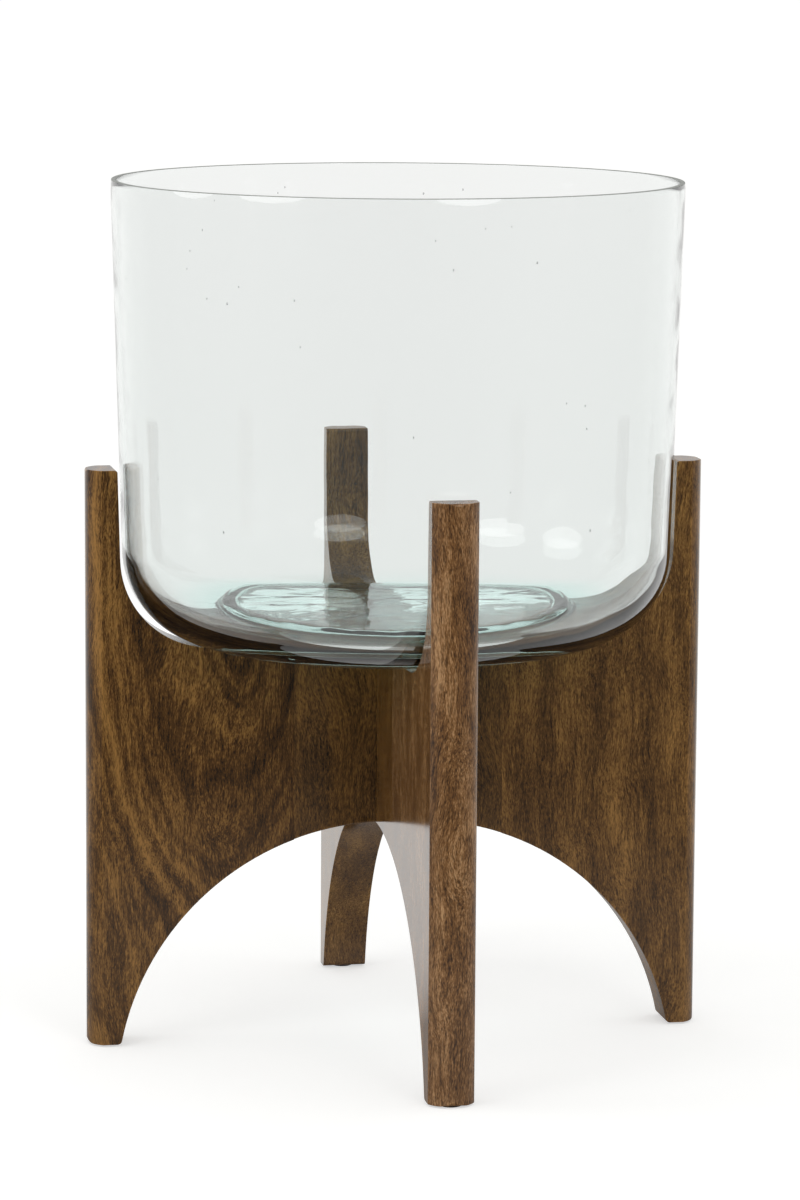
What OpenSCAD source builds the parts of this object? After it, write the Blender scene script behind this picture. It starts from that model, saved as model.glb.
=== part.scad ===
// A blown glass cylinder vase that stands loosely in a base of two crossed wooden boards.
// Each board is glued up from three upright staves, and the boards cross in a halving joint.
// The origin is on the floor under the crossing, +Z is up and +X runs along the wide board.

/* [Vase] */
// Outer diameter at the rim
rim_d = 300; // [260:1:330]
// Height from the foot to the rim
vase_h = 242; // [180:1:300]
// Outer diameter of the flat ring that the vase stands on, where the heel starts
foot_d = 193; // [180:1:220]
// Width of that flat ring
foot_flat_w = 4; // [2:0.5:8]
// Radius of the rounded heel, outside
heel_r = 48; // [40:1:60]
// How much smaller the radius of the heel is inside
heel_step = 6; // [2:0.5:9]
// Thickness of the wall
wall_t = 2.6; // [2:0.1:5]
// Radius on both edges of the flat ground rim
rim_ease_r = 0.3; // [0.1:0.05:0.8]
// Thickness of the floor in the valley around its pushed-up middle
floor_t = 6.5; // [5:0.5:7.5]
// Height of the pushed-up middle of the floor, underneath
punt_h = 8; // [4:0.5:10]
// Thickness of the pushed-up middle
punt_t = 6.5; // [4:0.5:8]
// Radius of the bends at the edge of the pushed-up middle
punt_bend_r = 5; // [4.5:0.5:10]

/* [Boards] */
// Thickness of each board
board_t = 24; // [18:0.5:26]
// Height of the seat above the floor
seat_h = 212.5; // [190:0.5:240]
// Height of the prongs above the seat
prong_h = 94; // [70:1:120]
// Width of a prong at its top, seen from the side
prong_w = 15.7; // [12:0.1:24]
// Gap between the vase wall and the prongs
cradle_gap = 3.5; // [1:0.1:6]
// Radius in the corners of the cradle
cradle_r = 48; // [30:1:48]
// Height of the arch between the legs
arch_h = 116.5; // [100:0.5:130]
// Width of a leg at its foot, seen from the side
leg_w = 16.9; // [15.5:0.1:26]
// Width of the flat at the top of the arch
arch_flat_w = 18; // [10:1:24]
// Radius of the rounded outer edge of a leg
nose_r = 13.5; // [12.5:0.5:30]
// Radius on the corners at the top of a prong
top_ease_r = 1.5; // [0.5:0.1:4]
// Radius on the corners at the bottom of a leg
foot_ease_r = 2.5; // [0.5:0.1:4]
// Width of the middle stave of each board
stave_w = 112; // [90:1:140]
// Glue gap on each side of the halving joint
lap_gap = 0.2; // [0.1:0.05:0.5]

/* [Pads] */
// Diameter of the felt pad under each leg
pad_d = 11; // [6:0.5:11.5]
// Thickness of the felt pad
pad_t = 1; // [0.5:0.1:3]
// Diameter of the clear bumper under the vase
bumper_d = 9; // [5:0.5:14]
// Thickness of the clear bumper
bumper_t = 1; // [0.5:0.1:3]

/* [Hidden] */
$fn = 96;

// How far a cut runs past the face that it opens
over = 2;

// Vase: the wall is one straight line that touches the heel circle and the eased edge of the rim
heel_c = [foot_d / 2, heel_r];
rim_out_c = [rim_d / 2 - rim_ease_r, vase_h - rim_ease_r];
wall_run = rim_out_c - heel_c;
wall_tilt = atan2(wall_run.x, wall_run.y) - asin((heel_r - rim_ease_r) / norm(wall_run));
wall_out = [cos(wall_tilt), -sin(wall_tilt)];
function outer_wall_x(z) = (heel_c + heel_r * wall_out).x
    + (z - (heel_c + heel_r * wall_out).y) * tan(wall_tilt);
function inner_wall_x(z) = outer_wall_x(z) - wall_t / cos(wall_tilt);
rim_in_c = [inner_wall_x(rim_out_c.y) + rim_ease_r / cos(wall_tilt), rim_out_c.y];
heel_in_r = heel_r - heel_step;
heel_in_z = floor_t + heel_in_r;
heel_in_c = [inner_wall_x(heel_in_z) - heel_in_r / cos(wall_tilt), heel_in_z];

// Boards: the cradle wall runs beside the vase wall
vase_z = seat_h + bumper_t;
prong_z = seat_h + prong_h;
function cradle_x(z) = outer_wall_x(z - vase_z) + cradle_gap / cos(wall_tilt);
// The corners of the cradle are never rounder than the heel
corner_r = min(cradle_r, heel_r);
corner_z = seat_h + corner_r;
cradle_c = [cradle_x(corner_z) - corner_r / cos(wall_tilt), corner_z];
board_half = cradle_x(prong_z) + prong_w;
lap_z = (arch_h + seat_h) / 2;

// Boards: each side of the arch runs level at the top and down to the inner edge of a foot
arch_rise = arch_h - pad_t;
arch_run = board_half - leg_w - arch_flat_w / 2;
arch_r = (pow(arch_run, 2) + pow(arch_rise, 2)) / (2 * arch_rise);
arch_c = [arch_flat_w / 2, arch_h - arch_r];

// Boards: centres of the eased corners of a leg
prong_in_z = prong_z - top_ease_r;
prong_in_c = [cradle_x(prong_in_z) + top_ease_r / cos(wall_tilt), prong_in_z];
prong_out_c = [board_half - top_ease_r, prong_in_z];
foot_z = pad_t + foot_ease_r;
foot_out_c = [board_half - foot_ease_r, foot_z];
foot_in_c = [arch_c.x + sqrt(pow(arch_r + foot_ease_r, 2) - pow(foot_z - arch_c.y, 2)), foot_z];

// Pads, and bumpers whose outer edge lies under the outer edge of the vase's flat ring
pad_u = (foot_in_c.x + foot_out_c.x) / 2;
bumper_u = (foot_d - bumper_d) / 2;

wood_colour = [0.36, 0.24, 0.13];
glass_colour = [0.86, 0.91, 0.89, 0.4];
felt_colour = [0.13, 0.11, 0.10];
bumper_colour = [0.90, 0.92, 0.92, 0.5];

// Half section of the vase, outside
module vase_outside() {
    translate(heel_c) circle(r = heel_r);
    translate(rim_out_c) circle(r = rim_ease_r);
    polygon([
        [0, 0],
        [heel_c.x, 0],
        heel_c,
        heel_c + heel_r * wall_out,
        rim_out_c + rim_ease_r * wall_out,
        rim_out_c,
        [rim_out_c.x, vase_h],
        [0, vase_h]
    ]);
}

// Half section under a flat top whose edge bends down into a valley that is lowest at valley_x
module raised_disc(valley_x, low, top) {
    reach = 2 * punt_bend_r;
    run = sqrt(pow(reach, 2) - pow(reach - (top - low), 2));
    valley_c = [valley_x, low + punt_bend_r];
    edge_c = [valley_x - run, top - punt_bend_r];
    difference() {
        union() {
            translate(edge_c) circle(r = punt_bend_r);
            polygon([
                [0, low - over],
                [0, top],
                [edge_c.x, top],
                (edge_c + valley_c) / 2,
                [valley_x, low],
                [valley_x, low - over]
            ]);
        }
        translate(valley_c) circle(r = punt_bend_r);
    }
}

// Half section of the hollow of the vase
module vase_hollow() {
    difference() {
        union() {
            translate(heel_in_c) circle(r = heel_in_r);
            polygon([
                [0, floor_t],
                [heel_in_c.x, floor_t],
                heel_in_c,
                heel_in_c + heel_in_r * wall_out,
                rim_in_c - rim_ease_r * wall_out,
                rim_in_c,
                [rim_in_c.x, vase_h + over],
                [0, vase_h + over]
            ]);
        }
        translate(rim_in_c) circle(r = rim_ease_r);
        raised_disc(heel_in_c.x - foot_flat_w / 2, floor_t, punt_h + punt_t);
    }
}

module glass_vase() {
    color(glass_colour)
    translate([0, 0, vase_z])
    rotate_extrude() difference() {
        vase_outside();
        vase_hollow();
        raised_disc(heel_c.x - foot_flat_w, 0, punt_h);
    }
}

// Draws its children again on the other side of the board
module both_sides() {
    children();
    mirror([1, 0]) children();
}

// Side view of the space that the vase stands in
module cradle_outline() {
    both_sides() {
        translate(cradle_c) circle(r = corner_r);
        polygon([
            [0, seat_h],
            [cradle_c.x, seat_h],
            cradle_c,
            cradle_c + corner_r * wall_out,
            [cradle_x(prong_z + over), prong_z + over],
            [0, prong_z + over]
        ]);
    }
}

// Side view of the arch between the legs
module arch_outline() {
    both_sides() translate(arch_c) circle(r = arch_r);
    translate([-arch_c.x, arch_c.y]) square([2 * arch_c.x, arch_r]);
}

// What comes off the four corners of a leg before their circles are laid in
module corner_cuts() {
    to_arch = (arch_c - foot_in_c) / norm(arch_c - foot_in_c);
    polygon([
        prong_in_c,
        prong_in_c - (top_ease_r + over) * wall_out,
        [cradle_x(prong_z) - over, prong_z + over],
        [prong_in_c.x, prong_z + over]
    ]);
    translate(prong_out_c) square(top_ease_r + over);
    translate([foot_out_c.x, pad_t - over]) square(foot_ease_r + over);
    polygon([
        foot_in_c,
        foot_in_c + (foot_ease_r + over) * to_arch,
        [arch_c.x + arch_run - over, pad_t - over],
        [foot_in_c.x, pad_t - over]
    ]);
}

// Side view of a whole board
module board_outline() {
    difference() {
        translate([-board_half, pad_t]) square([2 * board_half, prong_z - pad_t]);
        cradle_outline();
        arch_outline();
        both_sides() corner_cuts();
    }
    both_sides() {
        for (c = [prong_in_c, prong_out_c]) translate(c) circle(r = top_ease_r);
        for (c = [foot_in_c, foot_out_c]) translate(c) circle(r = foot_ease_r);
    }
}

// View from above of a board with its two rounded outer edges
module board_plan() {
    nose_x = board_half - nose_r;
    flat_x = nose_x + sqrt(pow(nose_r, 2) - pow(board_t / 2, 2));
    square([2 * flat_x, board_t], center = true);
    both_sides() intersection() {
        translate([nose_x, 0]) circle(r = nose_r);
        translate([0, -board_t / 2]) square([board_half, board_t]);
    }
}

// The stretch of a board from one place to another along its length
module board_stretch(from, to) {
    color(wood_colour)
    intersection() {
        rotate([90, 0, 0]) linear_extrude(board_t, center = true) intersection() {
            board_outline();
            translate([from, 0]) square([to - from, prong_z]);
        }
        linear_extrude(prong_z) board_plan();
    }
}

module outer_stave() {
    board_stretch(stave_w / 2, board_half);
}

// The middle stave with its half of the halving joint cut away above or below
module middle_stave(open_up) {
    slot_w = board_t + 2 * lap_gap;
    slot_z = open_up ? lap_z : lap_z - seat_h;
    difference() {
        board_stretch(-stave_w / 2, stave_w / 2);
        translate([-slot_w / 2, -slot_w / 2, slot_z]) cube([slot_w, slot_w, seat_h]);
    }
}

module wide_board_left() {
    rotate([0, 0, 180]) outer_stave();
}

module wide_board_middle() {
    middle_stave(false);
}

module wide_board_right() {
    outer_stave();
}

module deep_board_front() {
    rotate([0, 0, -90]) outer_stave();
}

module deep_board_middle() {
    rotate([0, 0, 90]) middle_stave(true);
}

module deep_board_back() {
    rotate([0, 0, 90]) outer_stave();
}

// A felt pad under the leg that lies at this angle from +X
module foot_pad(angle) {
    color(felt_colour)
    rotate([0, 0, angle]) translate([pad_u, 0, 0]) cylinder(d = pad_d, h = pad_t);
}

// A clear bumper on the seat, on the arm that lies at this angle from +X
module bumper(angle) {
    color(bumper_colour)
    rotate([0, 0, angle]) translate([bumper_u, 0, seat_h]) cylinder(d = bumper_d, h = bumper_t);
}

glass_vase();
wide_board_left();
wide_board_middle();
wide_board_right();
deep_board_front();
deep_board_middle();
deep_board_back();
foot_pad(180);  // foot_pad_left
foot_pad(0);  // foot_pad_right
foot_pad(-90);  // foot_pad_front
foot_pad(90);  // foot_pad_back
bumper(180);  // bumper_left
bumper(0);  // bumper_right
bumper(-90);  // bumper_front
bumper(90);  // bumper_back
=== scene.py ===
# %% [markdown]
# A glass vase on a wooden base.
# The real object is a wide cylinder of clear blown glass that stands loosely in two crossed boards of
# dark stained hardwood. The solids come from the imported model, which stays fixed, so this lesson is
# about looks: the studio, the wood, the glass and the small pads under the legs and the vase.

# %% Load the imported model
import math
import random

import bmesh
import bpy
from mathutils import Matrix, Vector, noise


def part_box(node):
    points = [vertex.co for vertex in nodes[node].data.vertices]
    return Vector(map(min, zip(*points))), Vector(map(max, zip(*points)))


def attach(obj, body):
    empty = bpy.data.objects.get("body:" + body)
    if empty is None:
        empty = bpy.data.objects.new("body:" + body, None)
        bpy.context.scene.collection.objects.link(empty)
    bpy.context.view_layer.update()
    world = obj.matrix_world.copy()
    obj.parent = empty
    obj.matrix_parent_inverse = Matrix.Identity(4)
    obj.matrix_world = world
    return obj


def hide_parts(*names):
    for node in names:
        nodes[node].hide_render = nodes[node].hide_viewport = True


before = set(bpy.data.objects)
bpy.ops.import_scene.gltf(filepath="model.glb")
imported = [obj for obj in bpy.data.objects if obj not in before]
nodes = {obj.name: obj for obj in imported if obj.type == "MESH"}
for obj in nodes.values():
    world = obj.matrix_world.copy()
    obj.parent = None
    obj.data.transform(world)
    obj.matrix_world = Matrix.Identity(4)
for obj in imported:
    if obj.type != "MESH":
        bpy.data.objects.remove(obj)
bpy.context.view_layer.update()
MM = 0.001


# %% [markdown]
# A few helpers do all the small work. Colours are picked in sRGB, as a screen shows them, while shaders
# count in linear light, so one function converts them. A shader tree is built by one function as well,
# which adds a node, sets what is given and links what is a socket. Two more start a material and set the
# stops of a colour ramp, which turns a number from 0 to 1 into a colour.

# %% Helpers for colours and shader nodes
def linear(code):
    """The linear colour of an sRGB hex code."""
    parts = [int(code[i:i + 2], 16) / 255 for i in (1, 3, 5)]
    return tuple(p / 12.92 if p <= 0.04045 else ((p + 0.055) / 1.055) ** 2.4 for p in parts) + (1.0,)


def add_node(tree, kind, sockets=None, **settings):
    """A new node of this kind: settings are its own, and sockets holds values or links by input."""
    made = tree.nodes.new(kind)
    for name, value in settings.items():
        setattr(made, name, value)
    for key, value in (sockets or {}).items():
        if isinstance(value, bpy.types.NodeSocket):
            tree.links.new(value, made.inputs[key])
        else:
            made.inputs[key].default_value = value
    return made


def set_stops(ramp, stops):
    """Give a colour ramp these stops, each a place from 0 to 1 with its colour, in rising order."""
    ramp.elements.remove(ramp.elements[1])
    for number, (place, colour) in enumerate(stops):
        stop = ramp.elements[0] if number == 0 else ramp.elements.new(place)
        stop.position = place
        stop.color = colour


def new_material(name):
    """An empty node material, its tree and its output node."""
    material = bpy.data.materials.new(name)
    material.use_nodes = True
    material.node_tree.nodes.clear()
    output = add_node(material.node_tree, "ShaderNodeOutputMaterial")
    return material, material.node_tree, output


print("middle grey #808080 is", round(linear("#808080")[0], 3), "in linear light")


# %% [markdown]
# The camera stands a little left of the front and looks slightly down. Its place was found by fitting
# the known edges of the object to the photograph. The picture is 800 by 1200, so the lens is measured
# against its long side. A long lens keeps the legs nearly parallel.

# %% Camera
# turn, pitch, pan and roll are in degrees, the lens and sensor in millimetres, and the distance, the
# height and how far the camera has sight in metres
CAMERA_TURN = 10.805
CAMERA_DISTANCE = 2.4360
CAMERA_HEIGHT = 0.6101
CAMERA_PITCH = 8.7874
CAMERA_PAN = 0.056
CAMERA_ROLL = 0.372
LENS = 139.8
SENSOR = 36
SIGHT = 100

camera_data = bpy.data.cameras.new("camera")
camera_data.lens = LENS
camera_data.sensor_width = SENSOR
camera_data.clip_end = SIGHT
camera = bpy.data.objects.new("camera", camera_data)
bpy.context.scene.collection.objects.link(camera)
bpy.context.scene.camera = camera
turn = Matrix.Rotation(-math.radians(CAMERA_TURN), 3, "Z")
pitch, pan, roll = (math.radians(a) for a in (CAMERA_PITCH, CAMERA_PAN, CAMERA_ROLL))
ahead = Vector((math.sin(pan) * math.cos(pitch), math.cos(pan) * math.cos(pitch), -math.sin(pitch)))
level = Vector((math.cos(pan), -math.sin(pan), 0))
over = level.cross(ahead)
side = math.cos(roll) * level + math.sin(roll) * over
above = -math.sin(roll) * level + math.cos(roll) * over
axes = Matrix((turn @ side, turn @ above, turn @ -ahead)).transposed()
place = turn @ Vector((0, -CAMERA_DISTANCE, CAMERA_HEIGHT))
camera.matrix_world = Matrix.Translation(place) @ axes.to_4x4()
print("camera at", [round(v, 3) for v in place])


# %% [markdown]
# The studio is white behind the object, grey at its sides and dark on the camera's side, as a real one
# is. Clear glass and lacquer show what they mirror, so this gives the glass its even grey veil and keeps
# the front of the wood dark. The levels were read off the veil at several places across the glass. What
# is seen directly is plain white from every side, and a little less straight through the glass. The
# sharp mirror images in the glass get a little extra everywhere, for the real wall scatters some light.

# %% Levels of the studio
# degrees from the way the camera looks, and how bright the studio is mirrored from there
STUDIO = [(180, 0.08), (145, 0.15), (120, 0.24), (98, 0.32),
          (80, 0.45), (65, 0.57), (50, 0.74), (35, 1.0)]
THROUGH = 0.96
VEIL = 0.1


def is_direct(tree, rays):
    """1 for rays that have met no matt surface on their way from the camera."""
    return add_node(tree, "ShaderNodeMath", {0: rays.outputs["Diffuse Depth"], 1: 0.5},
                    operation="LESS_THAN").outputs[0]


def mirrored_level(tree, rays, direction):
    """How bright a mirror shows the studio this way from the object: STUDIO, lifted in sharp mirrors."""
    back = (math.sin(math.radians(CAMERA_TURN)), math.cos(math.radians(CAMERA_TURN)), 0)
    facing = add_node(tree, "ShaderNodeVectorMath", {0: direction, 1: back}, operation="DOT_PRODUCT")
    along = add_node(tree, "ShaderNodeMapRange", {
        "Value": facing.outputs["Value"], "From Min": -1.0, "From Max": 1.0, "To Min": 0.0, "To Max": 1.0})
    levels = add_node(tree, "ShaderNodeValToRGB", {0: along.outputs[0]})
    places = [(math.cos(math.radians(degrees)) + 1) / 2 for degrees, _ in STUDIO]
    greys = [(grey, grey, grey, 1) for _, grey in STUDIO]
    set_stops(levels.color_ramp, list(zip(places, greys)))
    lifted = add_node(tree, "ShaderNodeMath", {0: levels.outputs[0], 1: 1 - VEIL, 2: VEIL},
                      operation="MULTIPLY_ADD")
    return add_node(tree, "ShaderNodeMix", {
        0: rays.outputs["Is Singular Ray"], 2: levels.outputs[0], 3: lifted.outputs[0]}).outputs[0]


def studio_level(tree, rays, direction):
    """How bright the studio is this way: mirrored, straight through the glass, or seen directly."""
    mirrored = mirrored_level(tree, rays, direction)
    straight = add_node(tree, "ShaderNodeMix", {0: rays.outputs["Is Camera Ray"], 2: THROUGH, 3: 1.0})
    met_gloss = add_node(tree, "ShaderNodeMath", {0: rays.outputs["Glossy Depth"], 1: 0.5},
                         operation="GREATER_THAN")
    return add_node(tree, "ShaderNodeMix", {
        0: met_gloss.outputs[0], 2: straight.outputs[0], 3: mirrored}).outputs[0]


print("studio from", STUDIO[0][1], "behind the camera to", STUDIO[-1][1], "behind the object")


# %% [markdown]
# The floor is a sheet of white paper that runs on far enough to have no edge in view. Part of its white
# is a glow, so that it reads as white without more light on the object, and the rest takes the soft
# shadow. Near the object the glass mirrors it at nearly its full level, and the duller lacquer at less.

# %% Floor
# lengths are in metres
FLOOR_HALF = 40
FLOOR_PAPER = "#cfcfcd"
FLOOR_GLOW = 0.52
NEAR_GLASS = 0.9
NEAR_LACQUER = 0.4
NEAR_FROM = 0.35
NEAR_TO = 0.9


def floor_level(tree, rays):
    """How bright the floor looks at each place: as the studio that way, but never dull close by."""
    where = add_node(tree, "ShaderNodeTexCoord")
    way = add_node(tree, "ShaderNodeVectorMath", {0: where.outputs["Object"]}, operation="NORMALIZE")
    reach = add_node(tree, "ShaderNodeVectorMath", {0: where.outputs["Object"]}, operation="LENGTH")
    near = add_node(tree, "ShaderNodeMix", {
        0: rays.outputs["Is Singular Ray"], 2: NEAR_LACQUER, 3: NEAR_GLASS})
    close = add_node(tree, "ShaderNodeMapRange", {
        "Value": reach.outputs["Value"], "From Min": NEAR_FROM, "From Max": NEAR_TO,
        "To Min": near.outputs[0], "To Max": 0.0})
    return add_node(tree, "ShaderNodeMath", {
        0: studio_level(tree, rays, way.outputs[0]), 1: close.outputs[0]}, operation="MAXIMUM").outputs[0]


def white_paper():
    """Paper that looks white, or as the studio's level says in a mirror, and lights wood evenly."""
    material, tree, output = new_material("white_paper")
    rays = add_node(tree, "ShaderNodeLightPath")
    seen = floor_level(tree, rays)
    level = add_node(tree, "ShaderNodeMath", {0: seen, 1: FLOOR_GLOW}, operation="MULTIPLY")
    shade = add_node(tree, "ShaderNodeMix", {0: seen, 6: (0, 0, 0, 1), 7: linear(FLOOR_PAPER)},
                     data_type="RGBA")
    seen_paper = add_node(tree, "ShaderNodeBsdfDiffuse", {"Color": shade.outputs[2]})
    glow = add_node(tree, "ShaderNodeEmission", {"Color": (1, 1, 1, 1), "Strength": level.outputs[0]})
    bright = add_node(tree, "ShaderNodeAddShader", {0: seen_paper.outputs[0], 1: glow.outputs[0]})
    paper = add_node(tree, "ShaderNodeBsdfDiffuse", {"Color": linear(FLOOR_PAPER)})
    mix = add_node(tree, "ShaderNodeMixShader", {
        0: is_direct(tree, rays), 1: paper.outputs[0], 2: bright.outputs[0]})
    tree.links.new(mix.outputs[0], output.inputs["Surface"])
    material.cycles.emission_sampling = "NONE"
    return material


def white_floor():
    """A large level sheet of the white paper."""
    mesh = bpy.data.meshes.new("studio_floor")
    corners = [(x * FLOOR_HALF, y * FLOOR_HALF, 0) for x, y in ((-1, -1), (1, -1), (1, 1), (-1, 1))]
    mesh.from_pydata(corners, [], [(0, 1, 2, 3)])
    floor = bpy.data.objects.new("studio_floor", mesh)
    bpy.context.scene.collection.objects.link(floor)
    mesh.materials.append(white_paper())
    return floor


floor = white_floor()
print(floor.name, "is", 2 * FLOOR_HALF, "m wide")


# %% [markdown]
# The surround is the world. Mirrors and eyes see the studio's levels in it. Rays that have met a matt
# surface see one even level instead, so that the wood is lit softly from all round.

# %% Surround
SURROUND_LEVEL = 0.8


def surround_light():
    """A world that is white at the back, grey at the sides and dark in front, but even for matt light."""
    world = bpy.data.worlds.new("studio_surround")
    bpy.context.scene.world = world
    world.use_nodes = True
    world.cycles.sampling_method = "NONE"
    tree = world.node_tree
    tree.nodes.clear()
    rays = add_node(tree, "ShaderNodeLightPath")
    where = add_node(tree, "ShaderNodeTexCoord")
    seen = studio_level(tree, rays, where.outputs["Generated"])
    strength = add_node(tree, "ShaderNodeMix", {0: is_direct(tree, rays), 2: SURROUND_LEVEL, 3: seen})
    glow = add_node(tree, "ShaderNodeBackground", {"Color": (1, 1, 1, 1), "Strength": strength.outputs[0]})
    output = add_node(tree, "ShaderNodeOutputWorld")
    tree.links.new(glow.outputs[0], output.inputs["Surface"])
    return world


surround = surround_light()
print(surround.name, "lights matt surfaces at", SURROUND_LEVEL)


# %% [markdown]
# Three tall oval softboxes stand round the camera. They were placed by their reflections in the glass:
# a reflection in the front wall lies half as far round the vase as its lamp does, and the lower ends of
# all three show just under the rim and again, squeezed flat, in the hollow of the heel at the back.

# %% Softboxes
# lengths are in metres, turns in degrees, and a radiance of 1 is the white of the studio
SOFTBOX_RANGE = 1.8
SOFTBOX_LOW = 0.45
SOFTBOX_TALL = 0.9
SOFTBOXES = {
    "softbox_right": dict(turn=27, width=0.80, radiance=2.6),
    "softbox_left": dict(turn=-50, width=0.90, radiance=2.6),
    "softbox_far_left": dict(turn=-87, width=0.75, radiance=2.0),
}


def softbox(name, turn, width, radiance):
    """An oval lamp that stands this many degrees to the right of the camera and faces the object."""
    lamp = bpy.data.lights.new(name, "AREA")
    lamp.shape = "ELLIPSE"
    lamp.size = width
    lamp.size_y = SOFTBOX_TALL
    oval = math.pi / 4 * width * SOFTBOX_TALL
    lamp.energy = radiance * math.pi * oval
    holder = bpy.data.objects.new(name, lamp)
    bpy.context.scene.collection.objects.link(holder)
    angle = math.radians(turn - CAMERA_TURN - 90)
    holder.location = (SOFTBOX_RANGE * math.cos(angle), SOFTBOX_RANGE * math.sin(angle),
                       SOFTBOX_LOW + SOFTBOX_TALL / 2)
    inward = -holder.location * Vector((1, 1, 0))
    holder.rotation_euler = inward.to_track_quat("-Z", "Y").to_euler()
    print(name, "at", [round(v, 2) for v in holder.location], "watts", round(lamp.energy, 1))
    return holder


for name, values in SOFTBOXES.items():
    softbox(name, **values)


# %% [markdown]
# The base is planed hardwood, stained walnut brown and lacquered. Its look has four layers: slow light
# and dark figure from the growth rings, cloudy stain, fine fibres, and short dark pores. All are solid
# patterns in millimetres, stretched along the grain, so a face, an edge and an end of the same stave
# belong to one piece of wood. A picture wrapped round the board could not do that. So each point of a
# stave first gets its place inside a log of its own, where the grain wanders a little on its way up.

# %% Place in the log
MM_PER_METRE = 1000
LOG_STEP = Vector((337, 153, 271))
WANDER = 34
WANDER_WIDE = 60
WANDER_TALL = 130


def place_in_log(tree, along, seed):
    """The point in millimetres along, across and up the board, and where it lies in its own log."""
    where = add_node(tree, "ShaderNodeTexCoord")
    quarter_turn = 0 if along == "x" else -math.pi / 2
    board = add_node(tree, "ShaderNodeMapping", {
        0: where.outputs["Object"], "Rotation": (0, 0, quarter_turn), "Scale": (MM_PER_METRE,) * 3})
    log = add_node(tree, "ShaderNodeVectorMath", {0: board.outputs[0], 1: seed * LOG_STEP},
                   operation="ADD")
    slow = add_node(tree, "ShaderNodeMapping", {
        0: log.outputs[0], "Scale": (1 / WANDER_WIDE, 1 / WANDER_WIDE, 1 / WANDER_TALL)})
    wander = add_node(tree, "ShaderNodeTexNoise", {
        "Vector": slow.outputs[0], "Scale": 1.0, "Detail": 2.0, "Roughness": 0.5})
    sway = add_node(tree, "ShaderNodeVectorMath", {0: wander.outputs["Color"], 1: (0.5, 0.5, 0.5)},
                    operation="SUBTRACT")
    swayed = add_node(tree, "ShaderNodeVectorMath", {
        0: sway.outputs[0], 1: (WANDER, WANDER, 0), 2: log.outputs[0]}, operation="MULTIPLY_ADD")
    return board.outputs[0], swayed.outputs[0]


print("each log lies", round(LOG_STEP.length), "mm from the next")


# %% [markdown]
# Growth rings are circles round the pith, the middle of the tree. A flat board cuts them in lines, and
# where the pith leans against the board, in the U-shaped figure that the left stave shows. The rings of
# one tree differ in width and depth, so the pattern is noise along the radius and not a plain wave.

# %% Growth rings
RING_DETAIL = 3.0
RING_ROUGHNESS = 0.6


def growth_rings(tree, log, pith, lean, ring, seed):
    """Light and dark by the distance from a leaning pith, with about this many millimetres a ring."""
    centre = seed * LOG_STEP + Vector((*pith, 0))
    from_pith = add_node(tree, "ShaderNodeVectorMath", {0: log, 1: centre}, operation="SUBTRACT")
    parts = add_node(tree, "ShaderNodeSeparateXYZ", {0: from_pith.outputs[0]})
    upright = []
    for axis, slope in zip("XY", lean):
        straightened = add_node(tree, "ShaderNodeMath", {
            0: parts.outputs["Z"], 1: -slope, 2: parts.outputs[axis]}, operation="MULTIPLY_ADD")
        upright.append(straightened.outputs[0])
    flat = add_node(tree, "ShaderNodeCombineXYZ", {0: upright[0], 1: upright[1]})
    radius = add_node(tree, "ShaderNodeVectorMath", {0: flat.outputs[0]}, operation="LENGTH")
    counted = add_node(tree, "ShaderNodeMath", {0: radius.outputs["Value"], 1: 1 / ring},
                       operation="MULTIPLY")
    rings = add_node(tree, "ShaderNodeTexNoise", {
        "W": counted.outputs[0], "Scale": 1.0, "Detail": RING_DETAIL, "Roughness": RING_ROUGHNESS},
        noise_dimensions="1D")
    return rings.outputs["Fac"]


# %% [markdown]
# Stain gathers in clouds and along the fibres, so several layers of noise move one tone up and down, and
# a ramp turns the tone into colour at the end. Pores are cut vessels: short dark dashes half a
# millimetre wide, and a few longer ones. The real ones are finer, but these are as fine as still show.
# Towards the ends of the wide board the tone rises: painted light, for the middle of the board lies in the
# shade of the crossing and the vase.

# %% Layers of stain and pores
# width and length of a mark in mm, detail, roughness, and how far the layer moves the tone
STAIN_MARKS = [
    (15, 55, 3.0, 0.55, 0.2),
    (1.3, 30, 3.0, 0.6, 0.16),
    (0.55, 4.5, 2.0, 0.6, 0.19),
    (0.35, 1.8, 1.0, 0.5, 0.17),
]
# width and length of a pore in mm, the noise where it is darkest and where it ends, and its darkness
PORE_MARKS = [
    (0.5, 5.0, 0.35, 0.44, 0.48),
    (1.2, 15.0, 0.27, 0.38, 0.74),
]
NOISE_LOW = 0.3
NOISE_HIGH = 0.7
# where the painted light on the ends of the wide board starts and where it is full, in mm from the middle
PALE_FROM = 95.0
PALE_TO = 150.0


def stretched(tree, log, width, length, detail, rough):
    """Noise with marks of this width and length in millimetres, along the grain."""
    size = add_node(tree, "ShaderNodeMapping", {0: log, "Scale": (1 / width, 1 / width, 1 / length)})
    return add_node(tree, "ShaderNodeTexNoise", {
        "Vector": size.outputs[0], "Scale": 1.0, "Detail": detail, "Roughness": rough}).outputs["Fac"]


def toned(tree, tone, pattern, reach):
    """The tone, moved up and down by a pattern, by about this reach at the most."""
    swing = add_node(tree, "ShaderNodeMapRange", {
        "Value": pattern, "From Min": NOISE_LOW, "From Max": NOISE_HIGH,
        "To Min": -reach, "To Max": reach}, clamp=False)
    return add_node(tree, "ShaderNodeMath", {0: swing.outputs[0], 1: tone}, operation="ADD").outputs[0]


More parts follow.
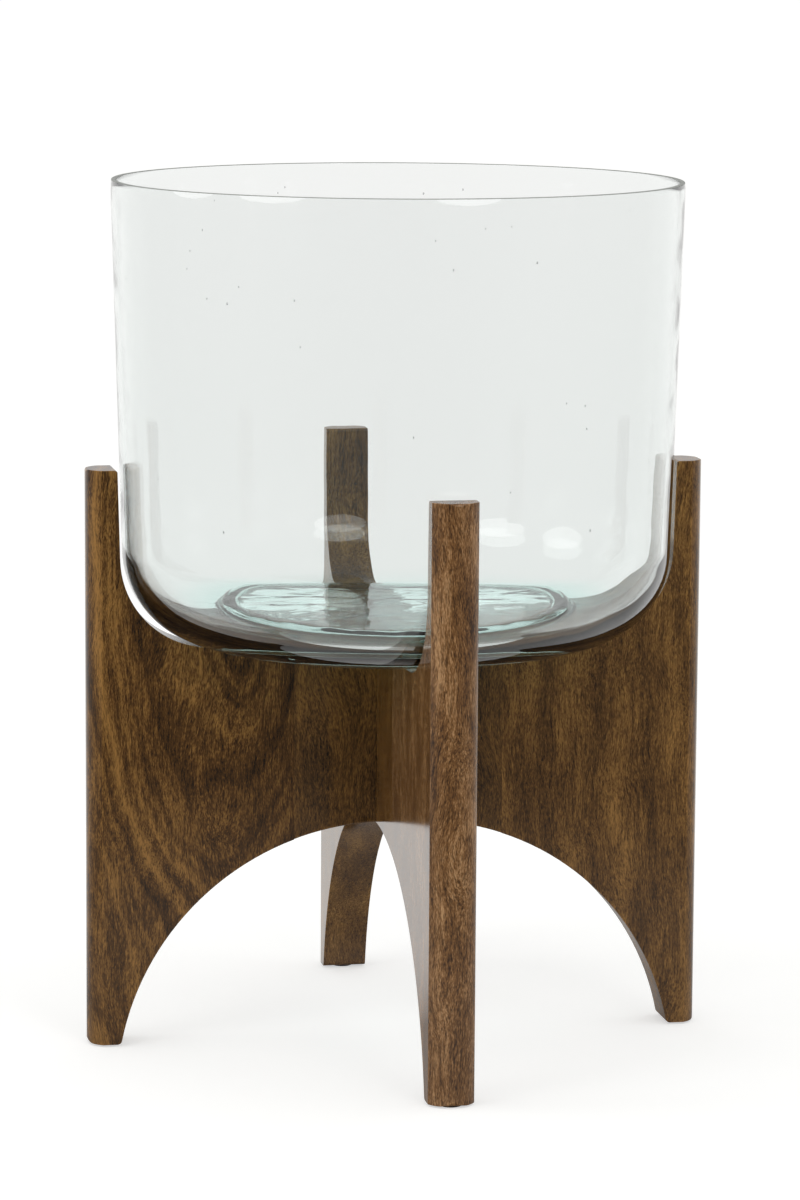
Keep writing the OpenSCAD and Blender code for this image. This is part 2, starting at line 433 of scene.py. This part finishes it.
def paler(tree, tone, board, edge_highlight, outer):
    """The tone, lifted all over by rub, a painted highlight on edge strips, and by outer more towards the
    ends of the board, a painted light.
    """
    parts = add_node(tree, "ShaderNodeSeparateXYZ", {0: board})
    away = add_node(tree, "ShaderNodeMath", {0: parts.outputs["X"]}, operation="ABSOLUTE")
    lift = add_node(tree, "ShaderNodeMapRange", {
        "Value": away.outputs[0], "From Min": PALE_FROM, "From Max": PALE_TO,
        "To Min": edge_highlight, "To Max": edge_highlight + outer})
    return add_node(tree, "ShaderNodeMath", {0: tone, 1: lift.outputs[0]}, operation="ADD").outputs[0]


def open_pores(tree, log):
    """1 on closed wood, and less in the pores of every kind."""
    closed = 1.0
    for width, length, darkest, end, darkness in PORE_MARKS:
        pores = add_node(tree, "ShaderNodeMapRange", {
            "Value": stretched(tree, log, width, length, 1.0, 0.5),
            "From Min": darkest, "From Max": end, "To Min": darkness, "To Max": 1.0})
        closed = add_node(tree, "ShaderNodeMath", {0: pores.outputs[0], 1: closed},
                          operation="MULTIPLY").outputs[0]
    return closed


print(len(STAIN_MARKS), "layers of stain and", len(PORE_MARKS), "kinds of pores")


# %% [markdown]
# The lacquer is a clear coat over matt stained wood. It is weaker on end grain, which drinks it up, and
# on the undersides of the arches, where little was sprayed.

# %% Stained and lacquered wood
FIGURE = 0.09
DARK_AT = 0.1
MIDDLE_AT = 0.5
LIGHT_AT = 0.95
PORE_DEPTH = 0.08 * MM
# the coat on end grain and undersides, and how far a face's normal points up or down where it thins
END_GRAIN_COAT = 0.7
END_GRAIN_FROM = 0.5
UNDERSIDE_COAT = 0.4
UNDERSIDE_FROM = -0.02
UNDERSIDE_TO = -0.35


def lacquer_weight(tree):
    """How much clear coat a face carries, by how far it faces up or down."""
    shape = add_node(tree, "ShaderNodeNewGeometry")
    facing = add_node(tree, "ShaderNodeSeparateXYZ", {0: shape.outputs["True Normal"]})
    level_face = add_node(tree, "ShaderNodeMath", {0: facing.outputs["Z"]}, operation="ABSOLUTE")
    end_grain = add_node(tree, "ShaderNodeMapRange", {
        "Value": level_face.outputs[0], "From Min": END_GRAIN_FROM, "From Max": 1.0,
        "To Min": 1.0, "To Max": END_GRAIN_COAT})
    underside = add_node(tree, "ShaderNodeMapRange", {
        "Value": facing.outputs["Z"], "From Min": UNDERSIDE_TO, "From Max": UNDERSIDE_FROM,
        "To Min": UNDERSIDE_COAT, "To Max": 1.0})
    return add_node(tree, "ShaderNodeMath", {0: end_grain.outputs[0], 1: underside.outputs[0]},
                    operation="MULTIPLY").outputs[0]


def stained_wood(name, pith, lean, ring, dark, middle, light, along, seed,
                 figure=FIGURE, edge_highlight=0.0, outer=0.0):
    """Lacquered wood from a log whose pith stands at pith, in mm along and across the board."""
    material, tree, output = new_material(name)
    board, log = place_in_log(tree, along, seed)
    tone = toned(tree, MIDDLE_AT, growth_rings(tree, log, pith, lean, ring, seed), figure)
    for width, length, detail, rough, reach in STAIN_MARKS:
        tone = toned(tree, tone, stretched(tree, log, width, length, detail, rough), reach)
    tone = paler(tree, tone, board, edge_highlight, outer)
    colour = add_node(tree, "ShaderNodeValToRGB", {0: tone})
    set_stops(colour.color_ramp, [
        (DARK_AT, linear(dark)), (MIDDLE_AT, linear(middle)), (LIGHT_AT, linear(light))])
    pores = open_pores(tree, log)
    stained = add_node(tree, "ShaderNodeMix", {0: 1.0, 6: colour.outputs[0], 7: pores},
                       data_type="RGBA", blend_type="MULTIPLY")
    bump = add_node(tree, "ShaderNodeBump", {"Height": pores, "Strength": 0.3, "Distance": PORE_DEPTH})
    wood = add_node(tree, "ShaderNodeBsdfPrincipled", {
        "Base Color": stained.outputs[2], "Roughness": 0.6, "IOR": 1.45, "Specular IOR Level": 0.0,
        "Coat Weight": lacquer_weight(tree), "Coat Roughness": 0.13, "Coat IOR": 1.5,
        "Normal": bump.outputs[0]})
    tree.links.new(wood.outputs[0], output.inputs["Surface"])
    return material


print("the coat is", END_GRAIN_COAT, "on end grain and", UNDERSIDE_COAT, "on undersides")


# %% [markdown]
# Six staves, six logs. The pith's place and lean set the figure of each, and three colours set its
# stain, from the dark lines to the light ones. The rounded strips along the edges are lighter by
# EDGE_HIGHLIGHT, a painted highlight of the light that the eased edges catch.

# %% The six staves
# painted highlight: how much the tone rises on the rounded strips along the edges
EDGE_HIGHLIGHT = 0.12
# outer is painted light: how far the tone rises towards the ends of a wide stave, as if out of the shade
# of the crossing and the vase
STAVES = {
    "wide_board_left": dict(pith=(-92, 70), lean=(0.0, -0.24), ring=9, along="x", seed=1,
                            dark="#2b1c0c", middle="#573a1a", light="#966d38", figure=0.28, outer=0.1),
    "wide_board_middle": dict(pith=(10, 150), lean=(0.02, 0.0), ring=7, along="x", seed=2,
                              dark="#2b1c0d", middle="#5a3f20", light="#896231"),
    "wide_board_right": dict(pith=(190, 90), lean=(0.03, -0.05), ring=9, along="x", seed=3,
                             dark="#33210f", middle="#644522", light="#9a713c", outer=0.05),
    "deep_board_front": dict(pith=(-100, 90), lean=(0.0, 0.02), ring=8, along="y", seed=4,
                             dark="#38261a", middle="#76522f", light="#b48c62"),
    "deep_board_middle": dict(pith=(10, 120), lean=(0.02, 0.0), ring=7, along="y", seed=5,
                              dark="#36220f", middle="#6b4922", light="#976c38"),
    "deep_board_back": dict(pith=(120, 70), lean=(0.02, 0.03), ring=8, along="y", seed=6,
                            dark="#3a2410", middle="#704f28", light="#a47c46"),
}
print("staves:", ", ".join(STAVES))


# %% [markdown]
# A planed board has no sharp corner: its arrises are eased with sandpaper. The imported solids leave that
# out, so each stave is shown by a copy of its own mesh with the outer edges rounded by about a
# millimetre. The glued edges between two staves and inside the halving joint stay sharp, because they
# were flush when the board was sanded. The rounded strip has a second slot, where the tone is painted
# lighter as a highlight along the edges.

# %% Eased boards
EASE = 1.2 * MM
EASE_STEPS = 3
SHARP = math.radians(20)
CREASE = math.radians(40)
FLAT = math.radians(0.3)
WELD = 0.001 * MM
# both boards have their seams, and the notch of the halving joint, equally far from the middle
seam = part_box("wide_board_middle")[1].x
NEAR_SEAM = 0.01 * MM
NOTCH_SPARE = 0.5 * MM
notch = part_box("deep_board_middle")[1].x + NOTCH_SPARE


def is_free(edge, along):
    """True for a corner that sandpaper reaches, of a board that runs along this axis."""
    ends = [v.co[along] for v in edge.verts]
    on_seam = all(abs(abs(e) - seam) < NEAR_SEAM for e in ends)
    in_notch = all(abs(e) < notch for e in ends)
    return edge.calc_face_angle(0) > SHARP and not on_seam and not in_notch


def eased_mesh(node, along):
    """A copy of a stave's mesh with its free edges rounded, the rounding in material slot 1."""
    made = bmesh.new()
    made.from_mesh(nodes[node].data)
    bmesh.ops.remove_doubles(made, verts=made.verts, dist=WELD)
    bmesh.ops.dissolve_limit(made, angle_limit=FLAT, verts=made.verts, edges=made.edges)
    free = [e for e in made.edges if is_free(e, along)]
    bmesh.ops.bevel(made, geom=free, offset=EASE, offset_type="OFFSET", segments=EASE_STEPS,
                    profile=0.5, affect="EDGES", clamp_overlap=True, material=1)
    mesh = bpy.data.meshes.new("stave_" + node)
    made.to_mesh(mesh)
    made.free()
    for face in mesh.polygons:
        face.use_smooth = True
    mesh.set_sharp_from_angle(angle=CREASE)
    print(mesh.name, "eased edges:", len(free), "faces:", len(mesh.polygons))
    return mesh


def eased_board(node, look):
    """A stave with its free edges rounded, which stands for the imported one."""
    mesh = eased_mesh(node, 0 if look["along"] == "x" else 1)
    mesh.materials.append(stained_wood("walnut_stain_" + node, **look))
    # slot 1, the rounded strip, gets the tone painted lighter as a highlight along the edges
    mesh.materials.append(stained_wood("highlit_edge_stain_" + node, **{**look, "edge_highlight": EDGE_HIGHLIGHT}))
    board = bpy.data.objects.new("stave_" + node, mesh)
    bpy.context.scene.collection.objects.link(board)
    even = board.modifiers.new("flat_faces_stay_flat", "WEIGHTED_NORMAL")
    even.keep_sharp = True
    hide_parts(node)
    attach(board, "base")
    return board


for node, look in STAVES.items():
    eased_board(node, look)


# %% [markdown]
# The vase is blown soda-lime glass. Its bottom was pushed up while the glass was soft, so it stands on a
# narrow ring and the floor is a raised disc. Its rim was cut and ground flat, which leaves a matt grey
# band. The body is a section turned round the axis: straight lines and arcs that touch each other, as in
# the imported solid, with enough points for clean refraction.

# %% Lengths of the vase in millimetres
FOOT_R = 96.5
FOOT_FLAT = 4
HEEL_R = 48
HEEL_IN_R = 42
RIM_R = 150
VASE_H = 242
WALL = 2.6
RIM_EASE = 0.3
# the floor: the valley round the raised disc, the height of the disc below and above, and its bends
FLOOR = 9.5
PUNT = 8
PUNT_TOP = 14.5
BEND = 5
# glass that gathered in the heel, and how far the rim was drawn in over its last stretch
SWELL_IN = 1.5
ROLL = 0.5
ROLL_H = 9
# how finely the section is drawn
LIP_STEPS = 4
HEEL_STEPS = 40
BEND_STEPS = 8
WALL_STEP = 3
UNDER_STEP = 3
FLOOR_STEP = 2

rim_out = Vector((RIM_R - RIM_EASE, VASE_H - RIM_EASE))
heel_out = Vector((FOOT_R, HEEL_R))
rise = rim_out - heel_out
TILT = math.atan2(rise.x, rise.y) - math.asin((HEEL_R - RIM_EASE) / rise.length)
print("the wall leans out by", round(math.degrees(TILT), 2), "degrees")


# %% [markdown]
# The section is drawn from the middle of the floor outwards, once outside and once inside. Each bend
# starts where the line before it ends, and in the same direction, so the light runs over it unbroken.

# %% Section of the vase
def arc(centre, radius, start, stop, count):
    """Points on an arc from one angle to another, counted from straight out towards straight up."""
    angles = [start + (stop - start) * i / count for i in range(count + 1)]
    return [centre + radius * Vector((math.cos(a), math.sin(a))) for a in angles]


def between(first, last, step):
    """Points on a line, without its ends, at most this far apart."""
    count = max(2, math.ceil((last - first).length / step))
    return [first.lerp(last, i / count) for i in range(1, count)]


def raised_disc(valley_x, low, top, step):
    """The middle of a pushed-up face and the S of two arcs from its edge down into the valley."""
    lift = 2 * BEND - (top - low)
    edge = Vector((valley_x - math.sqrt((2 * BEND) ** 2 - lift ** 2), top - BEND))
    valley = Vector((valley_x, low + BEND))
    slope = math.atan2(lift, valley_x - edge.x)
    middle = Vector((0, top))
    points = [middle] + between(middle, Vector((edge.x, top)), step)
    points += arc(edge, BEND, math.pi / 2, slope, BEND_STEPS)
    return points + arc(valley, BEND, math.pi + slope, 1.5 * math.pi, BEND_STEPS)[1:]


def inner_wall_x(z):
    """How far the inside of the wall is from the axis at this height."""
    foot = heel_out + HEEL_R * Vector((math.cos(TILT), -math.sin(TILT)))
    return foot.x + (z - foot.y) * math.tan(TILT) - WALL / math.cos(TILT)


def rolled_in(points):
    """The same points, drawn in a little towards the rim."""
    low = VASE_H - ROLL_H
    return [Vector((p.x - ROLL * (max(p.y - low, 0) / ROLL_H) ** 2, p.y)) for p in points]


def thickened(points, from_x, to_x):
    """Points of the inside, moved in where the glass ran down and gathered in the heel."""
    moved = []
    for p in points:
        out = min(max((p.x - from_x) / (to_x - from_x), 0), 1)
        down = min((VASE_H - p.y) / (VASE_H - HEEL_R), 1)
        moved.append(Vector((p.x - SWELL_IN * out ** 2 * down, p.y)))
    return moved


def outer_section():
    """The outside of the half section, from the middle of the foot to the rim."""
    points = raised_disc(FOOT_R - FOOT_FLAT, 0, PUNT, UNDER_STEP)
    points += arc(heel_out, HEEL_R, -math.pi / 2, -TILT, HEEL_STEPS)
    lip = arc(rim_out, RIM_EASE, -TILT, math.pi / 2, LIP_STEPS)
    return rolled_in(points + between(points[-1], lip[0], WALL_STEP) + lip)


def inner_section():
    """The inside of the half section, from the middle of the floor to the rim."""
    heel_z = FLOOR + HEEL_IN_R
    heel = Vector((inner_wall_x(heel_z) - HEEL_IN_R / math.cos(TILT), heel_z))
    points = raised_disc(heel.x - FOOT_FLAT / 2, FLOOR, PUNT_TOP, FLOOR_STEP)
    points += arc(heel, HEEL_IN_R, -math.pi / 2, -TILT, HEEL_STEPS)
    rim = Vector((inner_wall_x(rim_out.y) + RIM_EASE / math.cos(TILT), rim_out.y))
    lip = arc(rim, RIM_EASE, math.pi - TILT, math.pi / 2, LIP_STEPS)
    points += between(points[-1], lip[0], WALL_STEP) + lip
    return rolled_in(thickened(points, heel.x, heel.x + HEEL_IN_R))


outside = outer_section()
inside = inner_section()
print("points in the section:", len(outside), "outside and", len(inside), "inside")


# %% [markdown]
# Blown glass is never even. The floor is the thickest and cooled first, so it holds flow marks: slow
# swells, finer curls and a streaked ring where the disc bends down. They are small lifts of the surface,
# a few tenths of a millimetre, and bend the view of the boards below into bright and dark curls.

# %% Flow marks
# heights and sizes are in millimetres
SWELL = 0.17
SWELL_SIZE = (26, 17)
CURL = 0.06
CURL_SIZE = (8, 5)
THREAD = 0.3
THREAD_SIZE = (30, 13)
THREAD_FINE = 14
PATCH_SIZE = (45, 30)
PATCH_SHARE = 0.15
STREAK = 0.3
STREAK_R = 88
STREAK_WIDE = 7
STREAK_LONG = 3.5
STREAKS = 9
DRIFT = 9
DRIFT_SIZE = (34, 34)
FADE = 16
FLOWN_INSIDE = 118
FLOWN_UNDER = 86


def ripple(x, y, size, layer):
    """Smooth noise from about -1 to 1 with marks of this size, another for each layer."""
    return noise.noise(Vector((x / size[0], y / size[1], layer)))


def flow_marks(x, y, seed, limit):
    """How far the soft glass stands above its even surface here, up to a radius of limit."""
    reach = math.hypot(x, y)
    if reach > limit:
        return 0.0
    pull = Vector((ripple(x, y, DRIFT_SIZE, seed), ripple(x, y, DRIFT_SIZE, seed + 7), 0))
    bent = Vector((x, y, 0)) + DRIFT * pull
    lift = SWELL * ripple(bent.x, bent.y, SWELL_SIZE, seed + 3)
    lift += CURL * ripple(bent.x, bent.y, CURL_SIZE, seed + 5)
    thread = 1 - abs(ripple(bent.x, bent.y, THREAD_SIZE, seed + 9))
    patch = max(0.0, ripple(x, y, PATCH_SIZE, seed + 13) + PATCH_SHARE)
    lift += THREAD * patch * thread ** THREAD_FINE
    angle = math.atan2(y, x)
    ring = math.exp(-((reach - STREAK_R) / STREAK_WIDE) ** 2)
    around = Vector((STREAKS * math.cos(angle), STREAKS * math.sin(angle), reach / STREAK_LONG + seed))
    lift += STREAK * ring * noise.noise(around)
    fade = min(1.0, (limit - reach) / FADE)
    return lift * fade


print("flow mark at 40 mm from the axis:", round(flow_marks(40, 0, 11, FLOWN_INSIDE), 3), "mm")


# %% [markdown]
# The two surfaces are turned into one closed skin. Each point of the section becomes a ring of points,
# and neighbouring rings are joined by quads, or by triangles where a ring is one point on the axis.

# %% Skin of the vase
AROUND = 256
UNDER_SEED = 23
INSIDE_SEED = 11


def turned_ring(made, r, z, seed, limit):
    """A ring of points at this radius and height, or one point on the axis."""
    ring = []
    for i in range(AROUND if r > 0 else 1):
        angle = 2 * math.pi * i / AROUND
        x, y = r * math.cos(angle), r * math.sin(angle)
        ring.append(made.verts.new((x * MM, y * MM, (z + flow_marks(x, y, seed, limit)) * MM)))
    return ring


def turned_skin(made):
    """The closed skin of the vase, with its ground rim in material slot 1."""
    rings = [turned_ring(made, p.x, p.y, UNDER_SEED, FLOWN_UNDER) for p in outside]
    rings += [turned_ring(made, p.x, p.y, INSIDE_SEED, FLOWN_INSIDE) for p in reversed(inside)]
    for number, (low, high) in enumerate(zip(rings, rings[1:])):
        for i in range(AROUND):
            j = (i + 1) % AROUND
            if len(low) == 1:
                corners = (low[0], high[j], high[i])
            elif len(high) == 1:
                corners = (low[i], low[j], high[0])
            else:
                corners = (low[i], low[j], high[j], high[i])
            face = made.faces.new(corners)
            face.smooth = True
            face.material_index = 1 if abs(number - len(outside) + 1) <= LIP_STEPS else 0
    bmesh.ops.recalc_face_normals(made, faces=made.faces)
    print("rings in the skin:", len(rings), "of up to", AROUND, "points")


# %% [markdown]
# Small bubbles, called seeds, stay in any hand-blown glass. Each is a tiny closed skin of its own inside
# the wall, turned inside out because air is inside it, and a little long where the glass ran. They are
# set by random draws with a fixed start, so they are the same in each run.

# %% Blown vase
# how many seeds, their mean radius in millimetres, and how much smaller, larger and longer they may be
SEEDS = 46
SEED_R = 0.32
SEED_SIZES = (0.5, 1.3)
SEED_LONG = 1.6
# where they lie: the share of the wall from its inside, and how far they keep below the rim
SEED_DEPTHS = (0.35, 0.65)
SEED_BELOW_RIM = 6
SEED_DRAW = 5


def add_seeds(made):
    """Bubbles spread over the upright wall."""
    draw = random.Random(SEED_DRAW)
    for _ in range(SEEDS):
        angle = draw.uniform(0, 2 * math.pi)
        z = draw.uniform(HEEL_R, VASE_H - SEED_BELOW_RIM)
        r = inner_wall_x(z) + WALL * draw.uniform(*SEED_DEPTHS)
        size = SEED_R * draw.uniform(*SEED_SIZES)
        there = Matrix.Translation(Vector((r * math.cos(angle), r * math.sin(angle), z)) * MM)
        shape = there @ Matrix.Diagonal((size * MM, size * MM, SEED_LONG * size * MM, 1))
        ball = bmesh.ops.create_icosphere(made, subdivisions=2, radius=1, matrix=shape)
        skin = {face for vert in ball["verts"] for face in vert.link_faces}
        bmesh.ops.reverse_faces(made, faces=list(skin))
        for face in skin:
            face.smooth = True


def blown_vase():
    """The vase with its seeds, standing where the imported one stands."""
    made = bmesh.new()
    turned_skin(made)
    add_seeds(made)
    mesh = bpy.data.meshes.new("blown_vase")
    made.to_mesh(mesh)
    made.free()
    mesh.transform(Matrix.Translation((0, 0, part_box("glass_vase")[0].z)))
    vase = bpy.data.objects.new("blown_vase", mesh)
    bpy.context.scene.collection.objects.link(vase)
    return vase


vase = blown_vase()
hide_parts("glass_vase")
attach(vase, "vase")
print("vase faces", len(vase.data.polygons))


# %% [markdown]
# Clear soda-lime glass bends light with an IOR of about 1.52. Its faint green comes from iron, and shows
# where light runs a long way inside, so it is an absorption in the volume. A volume has one absorption
# throughout, and the real thick floor looks greener than that makes it. So the floor's skin has a pale
# teal of its own, which fades away in the heel. A blown wall also has faint waves, drawn as a bump.

# %% Clear glass
FLOOR_TINT = "#e2faf7"
TINT_R = 98
CLEAR_R = 125
WAVES_PER_METRE = (34, 34, 62)
WAVE_DEPTH = 0.25 * MM
GLASS_IOR = 1.52
GLASS_SHADOW = "#edf3f0"
IRON_GREEN = (0.32, 0.54, 0.47, 1.0)
IRON_DENSITY = 18.5


def floor_tint(tree, where):
    """White on the wall, and teal on the floor, by the distance from the axis."""
    level = add_node(tree, "ShaderNodeVectorMath", {0: where.outputs["Object"], 1: (1, 1, 0)},
                     operation="MULTIPLY")
    reach = add_node(tree, "ShaderNodeVectorMath", {0: level.outputs[0]}, operation="LENGTH")
    thick = add_node(tree, "ShaderNodeMapRange", {
        "Value": reach.outputs["Value"], "From Min": TINT_R * MM, "From Max": CLEAR_R * MM,
        "To Min": 1.0, "To Max": 0.0})
    return add_node(tree, "ShaderNodeMix", {
        0: thick.outputs[0], 6: (1, 1, 1, 1), 7: linear(FLOOR_TINT)}, data_type="RGBA").outputs[2]


def blown_glass():
    """Green-tinted glass with the faint waves of a blown wall, which lets lamplight through."""
    material, tree, output = new_material("blown_soda_glass")
    where = add_node(tree, "ShaderNodeTexCoord")
    waves = add_node(tree, "ShaderNodeMapping", {0: where.outputs["Object"], "Scale": WAVES_PER_METRE})
    wavy = add_node(tree, "ShaderNodeTexNoise", {
        "Vector": waves.outputs[0], "Scale": 1.0, "Detail": 0.5, "Roughness": 0.45})
    bump = add_node(tree, "ShaderNodeBump", {
        "Height": wavy.outputs["Fac"], "Strength": 0.5, "Distance": WAVE_DEPTH})
    glass = add_node(tree, "ShaderNodeBsdfPrincipled", {
        "Base Color": floor_tint(tree, where), "Roughness": 0.0, "IOR": GLASS_IOR,
        "Transmission Weight": 1.0, "Normal": bump.outputs[0]})
    rays = add_node(tree, "ShaderNodeLightPath")
    clear = add_node(tree, "ShaderNodeBsdfTransparent", {"Color": linear(GLASS_SHADOW)})
    mix = add_node(tree, "ShaderNodeMixShader", {
        0: rays.outputs["Is Shadow Ray"], 1: glass.outputs[0], 2: clear.outputs[0]})
    tree.links.new(mix.outputs[0], output.inputs["Surface"])
    iron = add_node(tree, "ShaderNodeVolumeAbsorption", {"Color": IRON_GREEN, "Density": IRON_DENSITY})
    tree.links.new(iron.outputs[0], output.inputs["Volume"])
    return material


vase.data.materials.append(blown_glass())
print(vase.data.materials[0].name, "in slot 0 of", vase.name)


# %% [markdown]
# The ground rim is matt and grey, because the grit leaves a field of tiny pits. Coarser patches lie over
# the marks of the grit, where the wheel bit more or less.

# %% Ground rim
GRIT_PER_METRE = 3000.0
PATCHES_PER_METRE = 140.0
GRIT_DEPTH = 0.05 * MM


def ground_glass():
    """The matt grey of the cut and ground rim, with marks of the grit about 0.3 mm apart."""
    material, tree, output = new_material("ground_rim")
    where = add_node(tree, "ShaderNodeTexCoord")
    grit = add_node(tree, "ShaderNodeTexNoise", {
        "Vector": where.outputs["Object"], "Scale": GRIT_PER_METRE, "Detail": 1.0})
    patches = add_node(tree, "ShaderNodeTexNoise", {
        "Vector": where.outputs["Object"], "Scale": PATCHES_PER_METRE, "Detail": 2.0})
    both = add_node(tree, "ShaderNodeMix", {0: 0.5, 2: grit.outputs["Fac"], 3: patches.outputs["Fac"]})
    colour = add_node(tree, "ShaderNodeValToRGB", {0: both.outputs[0]})
    set_stops(colour.color_ramp, [(0.3, linear("#7d807b")), (0.7, linear("#a3a6a0"))])
    bump = add_node(tree, "ShaderNodeBump", {
        "Height": grit.outputs["Fac"], "Strength": 0.4, "Distance": GRIT_DEPTH})
    matt = add_node(tree, "ShaderNodeBsdfPrincipled", {
        "Base Color": colour.outputs[0], "Roughness": 0.55, "IOR": 1.5, "Normal": bump.outputs[0]})
    tree.links.new(matt.outputs[0], output.inputs["Surface"])
    return material


vase.data.materials.append(ground_glass())
print(vase.data.materials[1].name, "in slot 1 of", vase.name)


# %% [markdown]
# Four discs of pressed felt keep the legs from scratching a floor. Felt is a mat of curled wool fibres,
# far finer than a render shows. They are drawn as curls of about a millimetre, coarse enough to be seen,
# and a sheen stands for the fuzz.

# %% Felt
CURLS_PER_METRE = 900.0
FELT_DEPTH = 0.2 * MM


def pressed_felt():
    """Dark wool felt with curled fibres, paler where they stand up."""
    material, tree, output = new_material("pressed_wool_felt")
    where = add_node(tree, "ShaderNodeTexCoord")
    mat = add_node(tree, "ShaderNodeTexNoise", {
        "Vector": where.outputs["Object"], "Scale": CURLS_PER_METRE, "Detail": 3.0, "Roughness": 0.7,
        "Distortion": 2.5})
    colour = add_node(tree, "ShaderNodeValToRGB", {0: mat.outputs["Fac"]})
    set_stops(colour.color_ramp, [(0.35, linear("#15110f")), (0.68, linear("#4a423b"))])
    bump = add_node(tree, "ShaderNodeBump", {
        "Height": mat.outputs["Fac"], "Strength": 0.6, "Distance": FELT_DEPTH})
    felt = add_node(tree, "ShaderNodeBsdfPrincipled", {
        "Base Color": colour.outputs[0], "Roughness": 0.95, "Sheen Weight": 0.35, "Sheen Roughness": 0.5,
        "Specular IOR Level": 0.1, "Normal": bump.outputs[0]})
    tree.links.new(felt.outputs[0], output.inputs["Surface"])
    return material


felt = pressed_felt()
print(felt.name, "with curls of", round(MM_PER_METRE / CURLS_PER_METRE, 1), "mm")


# %% [markdown]
# Four clear silicone bumpers keep the vase from the wood. Silicone is soft, so it is moulded with a
# faint pebbled skin, and it is clear with a milky touch.

# %% Silicone
PEBBLES_PER_METRE = 1400.0
PEBBLE_DEPTH = 0.06 * MM


def clear_silicone():
    """Soft clear silicone with a pebbled moulded skin."""
    material, tree, output = new_material("clear_moulded_silicone")
    where = add_node(tree, "ShaderNodeTexCoord")
    pebble = add_node(tree, "ShaderNodeTexNoise", {
        "Vector": where.outputs["Object"], "Scale": PEBBLES_PER_METRE, "Detail": 1.0})
    milk = add_node(tree, "ShaderNodeValToRGB", {0: pebble.outputs["Fac"]})
    set_stops(milk.color_ramp, [(0.0, linear("#d3d9d8")), (1.0, linear("#f4f6f5"))])
    bump = add_node(tree, "ShaderNodeBump", {
        "Height": pebble.outputs["Fac"], "Strength": 0.3, "Distance": PEBBLE_DEPTH})
    soft = add_node(tree, "ShaderNodeBsdfPrincipled", {
        "Base Color": milk.outputs[0], "Roughness": 0.28, "IOR": 1.41, "Transmission Weight": 0.75,
        "Normal": bump.outputs[0]})
    tree.links.new(soft.outputs[0], output.inputs["Surface"])
    return material


silicone = clear_silicone()
print(silicone.name, "with pebbles of", round(MM_PER_METRE / PEBBLES_PER_METRE, 1), "mm")


# %% [markdown]
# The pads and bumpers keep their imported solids, whose plain moulded shapes are right. They only get
# their materials here.

# %% Dress the pads and bumpers
for side_name in ("left", "right", "front", "back"):
    for node, material in (("foot_pad_" + side_name, felt), ("bumper_" + side_name, silicone)):
        nodes[node].data.materials.clear()
        nodes[node].data.materials.append(material)
print("felt pads and silicone bumpers dressed")


# %% [markdown]
# Colours are shown as they are written, so the view transform is the plain one.

# %% View settings and finish
bpy.context.scene.view_settings.view_transform = "Standard"
bpy.context.view_layer.update()
